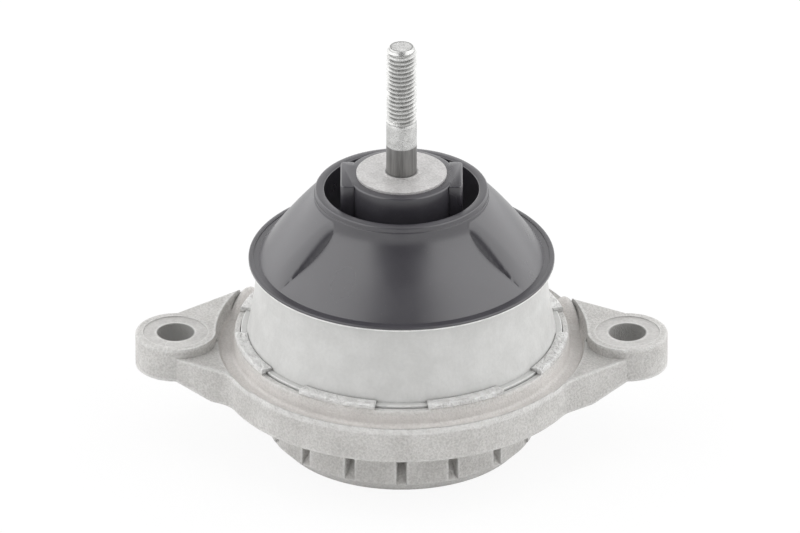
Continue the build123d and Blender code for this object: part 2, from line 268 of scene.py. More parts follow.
# Thin marks of handling, sparse and in all directions.
def makeScuffs(limits):
    tree, entry, leave = openGroup(
        "scuffs",
        [("Vector", "Vector", None), ("Scale", "Float", 90.0), ("Amount", "Float", 0.3)],
        [("Mask", "Float")],
    )
    bent = noise(tree, entry["Vector"], limits["bendScale"], 1.0)["Color"]
    pushed = place(tree, "VectorMath", {"Scale": limits["bend"]}, {0: bent}, operation="SCALE").outputs[0]
    moved = place(tree, "VectorMath", None, {0: entry["Vector"], 1: pushed}, operation="ADD").outputs[0]
    streaks = noise(tree, moved, entry["Scale"], 2.0, limits["lineRoughness"], limits["lineDistortion"])
    ridge = maths(tree, "ABSOLUTE", maths(tree, "SUBTRACT", streaks["Fac"], 0.5))
    thin = softStep(tree, ridge, *limits["line"])
    gate = softStep(tree, noise(tree, entry["Vector"], limits["gateScale"], 1.0)["Fac"], *limits["gate"])
    tree.links.new(maths(tree, "MULTIPLY", maths(tree, "MULTIPLY", thin, gate), entry["Amount"]), leave["Mask"])
    return tree


highlightShadeLimits = {
    "brokenScale": 400.0, "broken": (0.3, 0.6), "edge": (0.96, 0.7), "edgeLeast": 0.4,
    "corner": (0.85, 0.35), "cornerLeast": 0.6,
}


# Painted highlight on outer edges and painted shade in inner corners, broken up so that the lines aren't even.
def makeEdgeHighlightCornerShade(limits):
    tree, entry, leave = openGroup(
        "edgeHighlightCornerShade",
        [("Vector", "Vector", None), ("Edge Reach", "Float", 0.0007), ("Corner Reach", "Float", 0.0015)],
        [("Edge", "Float"), ("Corner", "Float")],
    )
    broken = softStep(tree, noise(tree, entry["Vector"], limits["brokenScale"], 2.0)["Fac"], *limits["broken"])
    # Edge: painted highlight where the part is convex; Corner: painted shade where occlusion falls
    for name, least, settings in (
        ("Edge", limits["edgeLeast"], {"inside": True, "only_local": True}),
        ("Corner", limits["cornerLeast"], {}),
    ):
        reach = {"Distance": entry[name + " Reach"]}
        around = place(tree, "AmbientOcclusion", None, reach, samples=4, **settings)
        part = softStep(tree, around.outputs["AO"], *limits[name.lower()])
        uneven = maths(tree, "MULTIPLY_ADD", broken, 1 - least, least)
        tree.links.new(maths(tree, "MULTIPLY", part, uneven), leave[name])
    return tree


rubberLimits = {
    "cloud": (0.3, 0.7), "cloudRoughness": 0.45, "haze": 0.07, "poreScale": 2600.0, "poreRoughness": 0.6,
    "speckScale": 1500.0, "speck": (0.71, 0.76), "speckShare": 0.08, "speckTone": (0.3, 0.29, 0.28),
}


# Moulded rubber: bloom in soft clouds, fine pores and a few specks of dust.
def makeRubberSkin(limits):
    tree, entry, leave = openGroup(
        "rubberSkin",
        [
            ("Vector", "Vector", None), ("Deep", "Color", (0.03, 0.03, 0.03, 1)),
            ("Bloom", "Color", (0.06, 0.06, 0.06, 1)), ("Roughness", "Float", 0.35),
            ("Cloud Scale", "Float", 45.0),
        ],
        [("Color", "Color"), ("Roughness", "Float"), ("Height", "Float")],
    )
    clouds = noise(tree, entry["Vector"], entry["Cloud Scale"], 3.0, limits["cloudRoughness"])
    cloudPart = softStep(tree, clouds["Fac"], *limits["cloud"])
    pores = noise(tree, entry["Vector"], limits["poreScale"], 2.0, limits["poreRoughness"])
    dust = noise(tree, entry["Vector"], limits["speckScale"], 1.0)
    specks = maths(tree, "MULTIPLY", softStep(tree, dust["Fac"], *limits["speck"]), limits["speckShare"])
    base = blendColours(tree, cloudPart, entry["Deep"], entry["Bloom"])
    tree.links.new(blendColours(tree, specks, base, limits["speckTone"]), leave["Color"])
    hazier = maths(tree, "MULTIPLY", cloudPart, limits["haze"])
    tree.links.new(maths(tree, "ADD", entry["Roughness"], hazier), leave["Roughness"])
    tree.links.new(pores["Fac"], leave["Height"])
    return tree


grainField = makeGrainField(grainLimits)
roundMask = makeRoundMask()
toolMarks = makeToolMarks(markLimits)
scuffs = makeScuffs(scuffLimits)
edgeHighlightCornerShade = makeEdgeHighlightCornerShade(highlightShadeLimits)
rubberSkin = makeRubberSkin(rubberLimits)
print("shader groups made")


# Finishes

# A material with its Principled shader's inputs and its coordinates.
def newFinish(name, metallic):
    material = bpy.data.materials.new(name)
    material.use_nodes = True
    tree = material.node_tree
    tree.nodes.clear()
    output = place(tree, "OutputMaterial")
    shader = place(tree, "BsdfPrincipled", {"Metallic": metallic})
    tree.links.new(shader.outputs["BSDF"], output.inputs["Surface"])
    coords = place(tree, "TexCoord").outputs["Object"]
    return material, tree, shader.inputs, coords


# Relief of a height from 0 to 1, depth in mm; edge softens the look of sharp edges, in mm.
def addRelief(tree, shader, height, depth, edge=0.0):
    bump = place(tree, "Bump", {"Strength": 1.0, "Distance": depth * mm}, {"Height": height})
    if edge:
        soft = place(tree, "Bevel", {"Radius": edge * mm}, samples=6)
        tree.links.new(soft.outputs["Normal"], bump.inputs["Normal"])
    tree.links.new(bump.outputs["Normal"], shader["Normal"])


# The grain field with the colours and sizes of one skin.
def grainSkin(tree, vector, skin):
    return useGroup(tree, grainField, {
        "Light": (*skin["light"], 1), "Dark": (*skin["dark"], 1), "Patch Scale": skin["patchScale"],
        "Grain Scale": skin["grainScale"], "Grain Share": skin["grainShare"],
        "Roughness": skin["roughness"], "Roughness Spread": skin["spread"],
    }, {"Vector": vector})


# The round mask with its sizes in mm.
def roundArea(tree, vector, radius, centreX=0.0, soft=0.2):
    return useGroup(tree, roundMask, {
        "Centre X": centreX * mm, "Radius": radius * mm, "Softness": soft * mm,
    }, {"Vector": vector})


def ringArea(tree, vector, inner, outer, soft=0.2):
    wide = roundArea(tree, vector, outer, soft=soft)
    narrow = roundArea(tree, vector, inner, soft=soft)
    return maths(tree, "SUBTRACT", wide["Mask"], narrow["Mask"], clamp=True)


def heightOf(tree, vector):
    return place(tree, "SeparateXYZ", links={"Vector": vector}).outputs["Z"]


def fromAxis(tree, vector):
    return useGroup(tree, roundMask, links={"Vector": vector})["Distance"]


# Height of the cutter's lines, with their pitch in mm.
def cutterMarks(tree, vector, distance, pitch):
    return useGroup(tree, toolMarks, {"Pitch": pitch * mm}, {"Vector": vector, "Distance": distance})["Height"]


# One colour over another where the mask is, up to a share.
def layOver(tree, colour, over, mask, share):
    return blendColours(tree, maths(tree, "MULTIPLY", mask, share), colour, over)


def layScuffs(tree, vector, colour, look):
    amounts = {"Scale": look["scuffScale"], "Amount": look["scuffAmount"]}
    marks = useGroup(tree, scuffs, amounts, {"Vector": vector})
    return blendColours(tree, marks["Mask"], colour, look["scuffTone"])


# Painted highlight on the outer edges and painted shade in the corners.
def layEdgeHighlightAndShade(tree, vector, colour, look):
    edgeAndCorner = useGroup(tree, edgeHighlightCornerShade, {
        "Edge Reach": look["edgeReach"] * mm, "Corner Reach": look["cornerReach"] * mm,
    }, {"Vector": vector})
    colour = layOver(tree, colour, look["edgeHighlight"], edgeAndCorner["Edge"], look["edgeHighlightShare"])
    return layOver(tree, colour, look["shadeTone"], edgeAndCorner["Corner"], look["shadeShare"])


castLook = {
    "metallic": 0.2, "relief": 0.12, "edge": 0.45,
    "skin": {
        "light": (0.64, 0.63, 0.613), "dark": (0.42, 0.41, 0.397), "patchScale": 110.0, "grainScale": 1400.0,
        "grainShare": 0.72, "roughness": 0.55, "spread": 0.12,
    },
    "torn": {
        "light": (0.95, 0.95, 0.94), "dark": (0.60, 0.59, 0.58), "patchScale": 330.0, "grainScale": 1100.0,
        "grainShare": 0.35, "roughness": 0.4, "spread": 0.2,
    },
    "cut": {
        "light": (0.60, 0.59, 0.575), "dark": (0.43, 0.42, 0.41), "patchScale": 90.0, "grainScale": 1100.0,
        "grainShare": 0.55, "roughness": 0.48, "spread": 0.1,
    },
    "stakeInner": 50.2, "stakeOuter": 55.1, "stakeBottom": 37.35, "stakeFade": 0.2, "stakeRelief": 4.0,
    "spotX": 74.0, "spotRadius": 10.6, "spotSoft": 1.6, "spotBottom": 36.5,
    "markPitch": 0.45, "markShare": 0.3, "markBase": 0.4,
    "boreRadius": 6.3, "boreShade": (0.36, 0.355, 0.345),
    # painted light in the channel round the collar, with a warm tone
    "channelInner": 54.6, "channelOuter": 59.7, "channelSoft": 0.6, "channelBottom": 31.0,
    "channelLightTone": (0.76, 0.725, 0.70), "channelLightShare": 0.5,
    "scuffScale": 80.0, "scuffAmount": 0.25, "scuffTone": (0.95, 0.95, 0.94),
    # painted highlight on outer edges and painted shade in inner corners
    "edgeReach": 1.25, "edgeHighlight": (0.88, 0.88, 0.87), "edgeHighlightShare": 0.36,
    "cornerReach": 1.6, "shadeTone": (0.26, 0.25, 0.238), "shadeShare": 0.15,
}


def makeCastAluminium(look):
    material, tree, shader, coords = newFinish("castAluminium", look["metallic"])
    skin, torn, cut = (grainSkin(tree, coords, look[name]) for name in ("skin", "torn", "cut"))
    height = heightOf(tree, coords)

    # Rolled rim: a ring high on the collar
    ring = ringArea(tree, coords, look["stakeInner"], look["stakeOuter"])
    low, high = look["stakeBottom"] - look["stakeFade"], look["stakeBottom"] + look["stakeFade"]
    stakeMask = maths(tree, "MULTIPLY", ring, softStep(tree, height, low * mm, high * mm))

    # Spot faces round the bolt holes
    spot = roundArea(tree, coords, look["spotRadius"], look["spotX"], look["spotSoft"])
    above = maths(tree, "GREATER_THAN", height, look["spotBottom"] * mm)
    spotMask = maths(tree, "MULTIPLY", spot["Mask"], above)
    marks = cutterMarks(tree, coords, spot["Distance"], look["markPitch"])

    # Painted light in the channel round the collar: paler to lift its shade, with a warmer tone
    channel = ringArea(tree, coords, look["channelInner"], look["channelOuter"], look["channelSoft"])
    above = maths(tree, "GREATER_THAN", height, look["channelBottom"] * mm)
    channelLightMask = maths(tree, "MULTIPLY", channel, above)

    # Colours from the skin outwards, with shade in the bores last
    colour = layOver(tree, skin["Color"], look["channelLightTone"], channelLightMask, look["channelLightShare"])
    colour = blendColours(tree, spotMask, colour, cut["Color"])
    colour = blendColours(tree, stakeMask, colour, torn["Color"])
    colour = layScuffs(tree, coords, colour, look)
    # Painted highlight on outer edges and painted shade in corners
    colour = layEdgeHighlightAndShade(tree, coords, colour, look)
    bore = roundArea(tree, coords, look["boreRadius"], look["spotX"])
    tree.links.new(blendColours(tree, bore["Mask"], colour, look["boreShade"]), shader["Base Color"])

    rough = blendValues(tree, spotMask, skin["Roughness"], cut["Roughness"])
    tree.links.new(blendValues(tree, stakeMask, rough, torn["Roughness"]), shader["Roughness"])
    turned = maths(tree, "MULTIPLY_ADD", marks, look["markShare"], look["markBase"])
    relief = blendValues(tree, spotMask, skin["Height"], turned)
    lumps = maths(tree, "MULTIPLY", torn["Height"], look["stakeRelief"])
    addRelief(tree, shader, blendValues(tree, stakeMask, relief, lumps), look["relief"], look["edge"])
    return material


sleeveLook = {
    "metallic": 0.1, "relief": 0.03, "edge": 0.3,
    "skin": {
        "light": (0.60, 0.60, 0.59), "dark": (0.53, 0.53, 0.52), "patchScale": 160.0, "grainScale": 900.0,
        "grainShare": 0.4, "roughness": 0.48, "spread": 0.1,
    },
    "drawn": (1.0, 1.0, 0.06), "streakScale": 900.0, "streak": (0.35, 0.65), "streakShare": 0.16,
    "scuffScale": 60.0, "scuffAmount": 0.06, "scuffTone": (0.9, 0.9, 0.89),
    # painted highlight on outer edges and painted shade in inner corners
    "edgeReach": 0.5, "edgeHighlight": (0.9, 0.9, 0.89), "edgeHighlightShare": 0.7,
    "cornerReach": 1.3, "shadeTone": (0.2, 0.2, 0.195), "shadeShare": 0.8,
}


def makeSleeveSteel(look):
    material, tree, shader, coords = newFinish("sleeveSteel", look["metallic"])
    skin = grainSkin(tree, coords, look["skin"])
    drawn = place(tree, "Mapping", {"Scale": look["drawn"]}, {"Vector": coords}).outputs["Vector"]
    streaks = noise(tree, drawn, look["streakScale"], 2.0)["Fac"]
    streaked = softStep(tree, streaks, *look["streak"])
    colour = layOver(tree, skin["Color"], look["skin"]["dark"], streaked, look["streakShare"])
    colour = layScuffs(tree, coords, colour, look)
    # Painted highlight on outer edges and painted shade in corners
    tree.links.new(layEdgeHighlightAndShade(tree, coords, colour, look), shader["Base Color"])
    tree.links.new(skin["Roughness"], shader["Roughness"])
    addRelief(tree, shader, maths(tree, "ADD", skin["Height"], streaks), look["relief"], look["edge"])
    return material


coreLook = {
    "metallic": 0.4, "relief": 0.05, "edge": 0.25, "markPitch": 0.5, "markShare": 0.25,
    "skin": {
        "light": (0.66, 0.65, 0.645), "dark": (0.45, 0.44, 0.435), "patchScale": 220.0, "grainScale": 1300.0,
        "grainShare": 0.7, "roughness": 0.45, "spread": 0.12,
    },
}


def makeCoreAluminium(look):
    material, tree, shader, coords = newFinish("coreAluminium", look["metallic"])
    skin = grainSkin(tree, coords, look["skin"])
    marks = cutterMarks(tree, coords, fromAxis(tree, coords), look["markPitch"])
    tree.links.new(skin["Color"], shader["Base Color"])
    tree.links.new(skin["Roughness"], shader["Roughness"])
    relief = maths(tree, "ADD", skin["Height"], maths(tree, "MULTIPLY", marks, look["markShare"]))
    addRelief(tree, shader, relief, look["relief"], look["edge"])
    return material


studLook = {
    "metallic": 0.75, "relief": 0.03,
    "plated": {
        "light": (0.70, 0.70, 0.69), "dark": (0.42, 0.42, 0.41), "patchScale": 350.0, "grainScale": 2400.0,
        "grainShare": 0.5, "roughness": 0.28, "spread": 0.12,
    },
    "bare": {
        "light": (0.26, 0.256, 0.25), "dark": (0.15, 0.147, 0.143), "patchScale": 500.0, "grainScale": 1800.0,
        "grainShare": 0.5, "roughness": 0.36, "spread": 0.1,
    },
    "drawn": (1.0, 1.0, 0.05), "bareTop": 106.4, "bareFade": 0.15,
    # painted highlight on outer edges and painted shade in inner corners
    "edgeReach": 0.35, "edgeHighlight": (0.9, 0.9, 0.89), "edgeHighlightShare": 0.4,
    "cornerReach": 0.8, "shadeTone": (0.1, 0.1, 0.098), "shadeShare": 0.85,
    "faceRing": 3.5, "faceRingWidth": 0.35, "faceZ": 141.9, "faceShare": 0.8,
}


def makeStudSteel(look):
    material, tree, shader, coords = newFinish("studSteel", look["metallic"])
    drawn = place(tree, "Mapping", {"Scale": look["drawn"]}, {"Vector": coords}).outputs["Vector"]
    plated = grainSkin(tree, coords, look["plated"])
    bare = grainSkin(tree, drawn, look["bare"])
    height = heightOf(tree, coords)

    # Bare shank below the plated thread
    low, high = look["bareTop"] - look["bareFade"], look["bareTop"] + look["bareFade"]
    bareMask = softStep(tree, height, high * mm, low * mm)
    colour = blendColours(tree, bareMask, plated["Color"], bare["Color"])
    # Painted highlight on outer edges and painted shade in corners
    colour = layEdgeHighlightAndShade(tree, coords, colour, look)

    # Dark ring on the end face
    offRing = maths(tree, "ABSOLUTE", maths(tree, "SUBTRACT", fromAxis(tree, coords), look["faceRing"] * mm))
    onFace = maths(tree, "GREATER_THAN", height, look["faceZ"] * mm)
    ringMask = maths(tree, "MULTIPLY", softStep(tree, offRing, look["faceRingWidth"] * mm, 0.0), onFace)
    tree.links.new(layOver(tree, colour, look["shadeTone"], ringMask, look["faceShare"]), shader["Base Color"])
    tree.links.new(blendValues(tree, bareMask, plated["Roughness"], bare["Roughness"]), shader["Roughness"])
    addRelief(tree, shader, blendValues(tree, bareMask, plated["Height"], bare["Height"]), look["relief"])
    return material


rubberLooks = {
    "springRubber": {
        "deep": (0.034, 0.032, 0.039), "bloom": (0.047, 0.045, 0.053),
        "roughness": 0.27, "relief": 0.012, "gloss": 1.0,
    },
    "bellowsRubber": {
        "deep": (0.02, 0.02, 0.021), "bloom": (0.035, 0.035, 0.036),
        "roughness": 0.5, "relief": 0.02, "gloss": 0.5,
    },
}


def makeRubber(name, look):
    material, tree, shader, coords = newFinish(name, 0.0)
    shader["Specular IOR Level"].default_value = look["gloss"]
    skin = useGroup(tree, rubberSkin, {
        "Deep": (*look["deep"], 1), "Bloom": (*look["bloom"], 1), "Roughness": look["roughness"],
    }, {"Vector": coords})
    tree.links.new(skin["Color"], shader["Base Color"])
    tree.links.new(skin["Roughness"], shader["Roughness"])
    addRelief(tree, shader, skin["Height"], look["relief"])
    return material


# Plates, rivets and ring inside: what they share, then what each has
plainShared = {
    "patchScale": 90.0, "grainShare": 0.5, "spread": 0.1, "relief": 0.04, "edge": 0.2,
    "scuffScale": 120.0, "scuffAmount": 0.3, "scuffTone": (0.8, 0.8, 0.79),
}
plainLooks = {
    "plateSteel": {
        "light": (0.62, 0.62, 0.6), "dark": (0.5, 0.5, 0.49), "metallic": 0.9, "roughness": 0.38,
        "grainScale": 900.0,
    },
    "plateAluminium": {
        "light": (0.66, 0.655, 0.64), "dark": (0.52, 0.51, 0.5), "metallic": 0.8, "roughness": 0.48,
        "grainScale": 1300.0,
    },
    "rivetSteel": {
        "light": (0.66, 0.66, 0.64), "dark": (0.54, 0.54, 0.53), "metallic": 0.9, "roughness": 0.34,
        "grainScale": 1800.0,
    },
}


def makePlainMetal(name, look):
    material, tree, shader, coords = newFinish(name, look["metallic"])
    skin = grainSkin(tree, coords, look)
    tree.links.new(layScuffs(tree, coords, skin["Color"], look), shader["Base Color"])
    tree.links.new(skin["Roughness"], shader["Roughness"])
    addRelief(tree, shader, skin["Height"], look["relief"], look["edge"])
    return material


finishes = {
    "castAluminium": makeCastAluminium(castLook),
    "sleeveSteel": makeSleeveSteel(sleeveLook),
    "coreAluminium": makeCoreAluminium(coreLook),
    "studSteel": makeStudSteel(studLook),
    **{name: makeRubber(name, look) for name, look in rubberLooks.items()},
    **{name: makePlainMetal(name, {**plainShared, **look}) for name, look in plainLooks.items()},
}
nodeFinish = {
    "housing": "castAluminium",
    "outer_sleeve": "sleeveSteel",
    "inner_core": "coreAluminium",
    "cover_plate": "plateSteel",
    "channel_plate": "plateAluminium",
    "plate_rivets": "rivetSteel",
    "bead_ring": "plateSteel",
    "stud": "studSteel",
    "rubber_spring": "springRubber",
    "decoupler": "bellowsRubber",
    "bellows": "bellowsRubber",
}
for nodeName, finishName in nodeFinish.items():
    for materialSlot in nodes[nodeName].material_slots:
        materialSlot.material = finishes[finishName]
print("finishes made")


# Rubber spring

spring = {
    "liningInner": 43.3, "sleeveBore": 45.6, "bottomZ": 36.0, "sleeveTop": 64.4,
    "rimOuter": 50.0, "rimInner": 48.4, "rimTop": 65.2, "troughR": 46.6, "troughZ": 64.95,
    "coneTopR": 28.6, "coneTopZ": 87.6, "lipTop": 88.4, "ringR": 28.2, "ringBore": 25.2, "ringTop": 90.2,
    "cavityZ": 73.0, "skinR": 17.6, "skinTop": 95.3, "discR": 14.75, "shoulderZ": 93.8,
    "coreR": 16.0, "waistZ": 77.0, "coreFootR": 12.5, "coreFootZ": 60.0, "domeR": 21.0, "domeFootZ": 46.0,
    "rounds": (
        ("rimOuter", "rimTop", 0.3), ("rimInner", "rimTop", 0.12), ("rimOuter", "sleeveTop", 0.15),
        ("ringR", "ringTop", 0.5), ("ringBore", "ringTop", 0.45), ("coneTopR", "lipTop", 0.2),
        ("ringR", "lipTop", 0.15), ("ringBore", "cavityZ", 3.0), ("skinR", "cavityZ", 2.0),
        ("skinR", "skinTop", 0.6), ("domeR", "coreFootZ", 2.5), ("liningInner", "domeFootZ", 5.0),
    ),
    "coneRows": 40, "turns": 360, "shareSlack": 0.001, "heightSlack": 0.02,
    "legEdge": 13.5, "legSpread": 0.272, "legRound": 4.6, "legRoundTop": 0.7, "legRise": 1.1,
    "legDip": 0.5, "legDipShare": 0.25, "sag": 4.3, "sagLean": 0.48,
    "lugHalfLength": 19.9, "lugHalfWidth": 8.8, "lugFoot": 81.4, "lugSunk": 0.5,
    "lugCorner": 1.3, "lugEdge": 0.5,
}


# 0 at the ring and 1 at the trough for a vertex on the cone, or None elsewhere.
def coneShare(s, vert):
    r = math.hypot(vert.co.x, vert.co.y) / mm
    share = (r - s["coneTopR"]) / (s["troughR"] - s["coneTopR"])
    onCone = s["coneTopZ"] + share * (s["troughZ"] - s["coneTopZ"])
    slack = s["shareSlack"]
    if -slack < share < 1 + slack and abs(vert.co.z / mm - onCone) < s["heightSlack"]:
        return min(1.0, max(0.0, share))
    return None


# How far a point of the cone moves up, in mm: the legs keep their line, and the rest sinks behind their edges.
def coneLift(s, x, y, share):
    legHalf = s["legEdge"] + s["legSpread"] * abs(x)
    depth = (legHalf - abs(y)) / (s["legRound"] * (s["legRoundTop"] + share))
    shoulder = 0.0 if depth <= 0 else 1.0 if depth >= 1 else math.sqrt(1 - (1 - depth) ** 2)
    leg = 4 * share * (1 - share) * s["legRise"]
    if share < s["legDipShare"]:
        leg -= s["legDip"] * (1 - share / s["legDipShare"]) ** 2
    sunk = -s["sag"] * math.sin(math.pi * share ** s["sagLean"])
    return sunk + shoulder * (leg - sunk)


# Boolean join of two closed pieces into one skin, as a new bmesh
def joinSkins(first, second):
    objects = []
    for bm in (first, second):
        mesh = bpy.data.meshes.new("joining")
        bm.to_mesh(mesh)
        bm.free()
        objects.append(bpy.data.objects.new("joining", mesh))
        scene.collection.objects.link(objects[-1])
    union = objects[0].modifiers.new("union", "BOOLEAN")
    union.operation = "UNION"
    union.solver = "EXACT"
    union.object = objects[1]
    shape = objects[0].evaluated_get(bpy.context.evaluated_depsgraph_get())
    joined = bmesh.new()
    joined.from_mesh(shape.to_mesh())
    shape.to_mesh_clear()
    for piece in objects:
        mesh = piece.data
        bpy.data.objects.remove(piece)
        bpy.data.meshes.remove(mesh)
    return joined


# The two stop lugs, blocks that end inside the core
def buildLugs(s):
    bm = bmesh.new()
    length = s["lugHalfLength"] - s["coreR"] + s["lugSunk"]
    width, tall = 2 * s["lugHalfWidth"], s["skinTop"] - s["lugFoot"]
    for side in (-1, 1):
        made = bmesh.ops.create_cube(bm, size=1.0)["verts"]
        bmesh.ops.scale(bm, vec=(length * mm, width * mm, tall * mm), verts=made)
        middle = side * (s["lugHalfLength"] - length / 2)
        bmesh.ops.translate(bm, verts=made, vec=(middle * mm, 0, (s["lugFoot"] + tall / 2) * mm))
    corners = [
        e for e in bm.edges if abs(e.verts[0].co.z - e.verts[1].co.z) > mm
        and all(abs(v.co.x) > (s["lugHalfLength"] - 0.1) * mm for v in e.verts)
    ]
    roundOff(bm, corners, s["lugCorner"], segments=5)
    tops = [e for e in bm.edges if all(v.co.z > (s["skinTop"] - 0.01) * mm for v in e.verts)]
    roundOff(bm, tops, s["lugEdge"], segments=3)
    bmesh.ops.recalc_face_normals(bm, faces=bm.faces[:])
    return bm


def buildSpring(s):
    bm = bmesh.new()
    wireLoop(bm, [
        (s["liningInner"], s["bottomZ"]), (s["sleeveBore"], s["bottomZ"]), (s["sleeveBore"], s["sleeveTop"]),
        (s["rimOuter"], s["sleeveTop"]), (s["rimOuter"], s["rimTop"]), (s["rimInner"], s["rimTop"]),
        (s["rimInner"], s["troughZ"]), (s["troughR"], s["troughZ"]), (s["coneTopR"], s["coneTopZ"]),
        (s["coneTopR"], s["lipTop"]), (s["ringR"], s["lipTop"]), (s["ringR"], s["ringTop"]),
        (s["ringBore"], s["ringTop"]), (s["ringBore"], s["cavityZ"]), (s["skinR"], s["cavityZ"]),
        (s["skinR"], s["skinTop"]), (s["discR"], s["skinTop"]), (s["discR"], s["shoulderZ"]),
        (s["coreR"], s["shoulderZ"]), (s["coreR"], s["waistZ"]), (s["coreFootR"], s["coreFootZ"]),
        (s["domeR"], s["coreFootZ"]), (s["liningInner"], s["domeFootZ"]),
    ])
    ends = {nearestVert(bm, s["coneTopR"], s["coneTopZ"]), nearestVert(bm, s["troughR"], s["troughZ"])}
    slope = [e for e in bm.edges if set(e.verts) == ends]
    bmesh.ops.subdivide_edges(bm, edges=slope, cuts=s["coneRows"])
    for r, z, size in s["rounds"]:
        roundCorner(bm, s[r], s[z], size)
    spinEdges(bm, bm.edges[:], s["turns"])
    closeSkin(bm)

    # Edges of the legs, cut into the cone before it is shaped, so that the crease is sharp
    lean = Vector((s["legSpread"], 1.0, 0.0)).normalized()
    for sideX in (-1, 1):
        for sideY in (-1, 1):
            cone = [
                f for f in bm.faces if all(coneShare(s, v) is not None for v in f.verts)
                and sideX * f.calc_center_median().x > 0 and sideY * f.calc_center_median().y > 0
            ]
            around = {v for f in cone for v in f.verts} | {e for f in cone for e in f.edges}
            bmesh.ops.bisect_plane(
                bm, geom=cone + list(around), dist=0.001 * mm, plane_co=(0, sideY * s["legEdge"] * mm, 0),
                plane_no=(-sideX * lean.x, sideY * lean.y, 0),
            )
    shares = [(v, coneShare(s, v)) for v in bm.verts]
    for vert, share in shares:
        if share is not None:
            vert.co.z += coneLift(s, vert.co.x / mm, vert.co.y / mm, share) * mm
    bm = joinSkins(bm, buildLugs(s))
    finishPiece(
        bm, "springMoulding", finishes["springRubber"], "spring_rubber", "rubber_spring", sharpDegrees=40,
    )


buildSpring(spring)


# Cast fairings where the channel runs out at the back of each ear

earRoots = {
    "backAngles": (23.0, 149.5), "towardsEar": (-1, 1), "reach": 13.0, "past": 7.0, "steps": 28,
    "foot": 31.4, "fadeLean": 0.66, "fadePower": 1.1,
    "section": (
        (54.4, 31.4), (60.4, 31.4), (60.4, 35.4), (60.2, 36.3),
        (59.5, 36.7), (58.4, 36.2), (56.6, 34.8), (54.4, 33.6),
    ),
}


def buildEarRoots(s):
    bm = bmesh.new()
    for backAngle, towards in zip(s["backAngles"], s["towardsEar"]):
        edges = wireLoop(bm, s["section"])
        verts = vertsOf(edges)
        start = math.radians(backAngle - towards * s["past"])
        sweep = math.radians(towards * (s["reach"] + s["past"]))
        bmesh.ops.rotate(bm, verts=verts, cent=(0, 0, 0), matrix=Matrix.Rotation(start, 3, "Z"))
        before = set(bm.verts) - set(verts)
        spinEdges(bm, edges, s["steps"], sweep)
        for vert in set(bm.verts) - before:
            share = (math.atan2(vert.co.y, vert.co.x) - start) / sweep
            fade = math.sin(math.pi * min(1.0, max(0.0, share)) ** s["fadeLean"]) ** s["fadePower"]
            vert.co.z = (s["foot"] + (vert.co.z / mm - s["foot"]) * fade) * mm
    fillEnds(bm)
    closeSkin(bm, gap=0.01)
    finishPiece(bm, "earRootFairings", finishes["castAluminium"], "cast_aluminium", sharpDegrees=60)


buildEarRoots(earRoots)


# Threaded stud

studSizes = {
    "headR": 8.0, "headZ": 70.1, "headTall": 5.0, "rootR": 5.3, "rootTop": 96.6, "shankR": 5.0, "turns": 96,
    "crestR": 4.97, "grooveR": 4.1, "pitch": 1.5, "perTurn": 48, "leadTurns": 1.5, "spareTurns": 3,
    "form": (
        ("grooveR", 0.0), ("grooveR", 0.14), ("crestR", 0.45),
        ("crestR", 0.58), ("grooveR", 0.9), ("grooveR", 1.0),
    ),
    "threadStart": 114.3, "threadLap": 0.05, "shankTaper": 0.4, "runOut": 1.8, "runOutPower": 1.5,
    "tipZ": 142.0, "tipR": 3.9, "tipLength": 2.0,
}


def buildStud(s):
    bm = bmesh.new()

    # One pitch of the thread, screwed upwards and cut off at both ends
    turns = math.ceil((s["tipZ"] - s["threadStart"]) / s["pitch"]) + s["spareTurns"]
    startZ = s["threadStart"] - s["leadTurns"] * s["pitch"]
    thread = wireLoop(bm, [(s[r], startZ + share * s["pitch"]) for r, share in s["form"]], closed=False)
    spinEdges(bm, thread, turns * s["perTurn"], turns * fullTurn, s["pitch"] * mm / s["perTurn"])
    bmesh.ops.remove_doubles(bm, verts=bm.verts[:], dist=0.003 * mm)
    for level, way in ((s["threadStart"] * mm, -1), (s["tipZ"] * mm, 1)):
        bmesh.ops.bisect_plane(
            bm, geom=bm.verts[:] + bm.edges[:] + bm.faces[:], dist=0.001 * mm,
            plane_co=(0, 0, level), plane_no=(0, 0, way), clear_outer=True,
        )

    # Run-out at the foot and taper at the tip
    for vert in bm.verts:
        r = math.hypot(vert.co.x, vert.co.y) / mm
        rising = min(1.0, max(0.0, (vert.co.z / mm - s["threadStart"]) / s["runOut"]))
        wanted = s["crestR"] + (r - s["crestR"]) * rising ** s["runOutPower"]
        slope = (s["tipZ"] - vert.co.z / mm) / s["tipLength"]
        wanted = min(wanted, s["tipR"] + slope * (s["crestR"] - s["tipR"]))
        vert.co.x *= wanted / r
        vert.co.y *= wanted / r
    fillEnds(bm)

    # Shank and buried head
    headTop, shankTop = s["headZ"] + s["headTall"], s["threadStart"] + s["threadLap"]
    shank = wireLoop(bm, [
        (0, s["headZ"]), (s["headR"], s["headZ"]), (s["headR"], headTop), (s["rootR"], headTop),
        (s["rootR"], s["rootTop"]), (s["shankR"], s["rootTop"]),
        (s["shankR"], s["threadStart"] - s["shankTaper"]), (s["crestR"], shankTop), (0, shankTop),
    ], closed=False)
    spinEdges(bm, shank, s["turns"])
    closeSkin(bm)
    finishPiece(bm, "threadedStud", finishes["studSteel"], "stud_steel", "stud", sharpDegrees=30)


buildStud(studSizes)


# Decoupler, a moulded disc with raised rings on both faces

decouplerSizes = {
    "radius": 27.0, "bottomZ": 30.6, "topZ": 34.0, "edge": 0.8, "turns": 96,
    "rings": (6.0, 12.0, 18.0, 23.5), "ringWidth": 1.6, "ringDepth": 0.35, "ringSlope": 0.3,
}


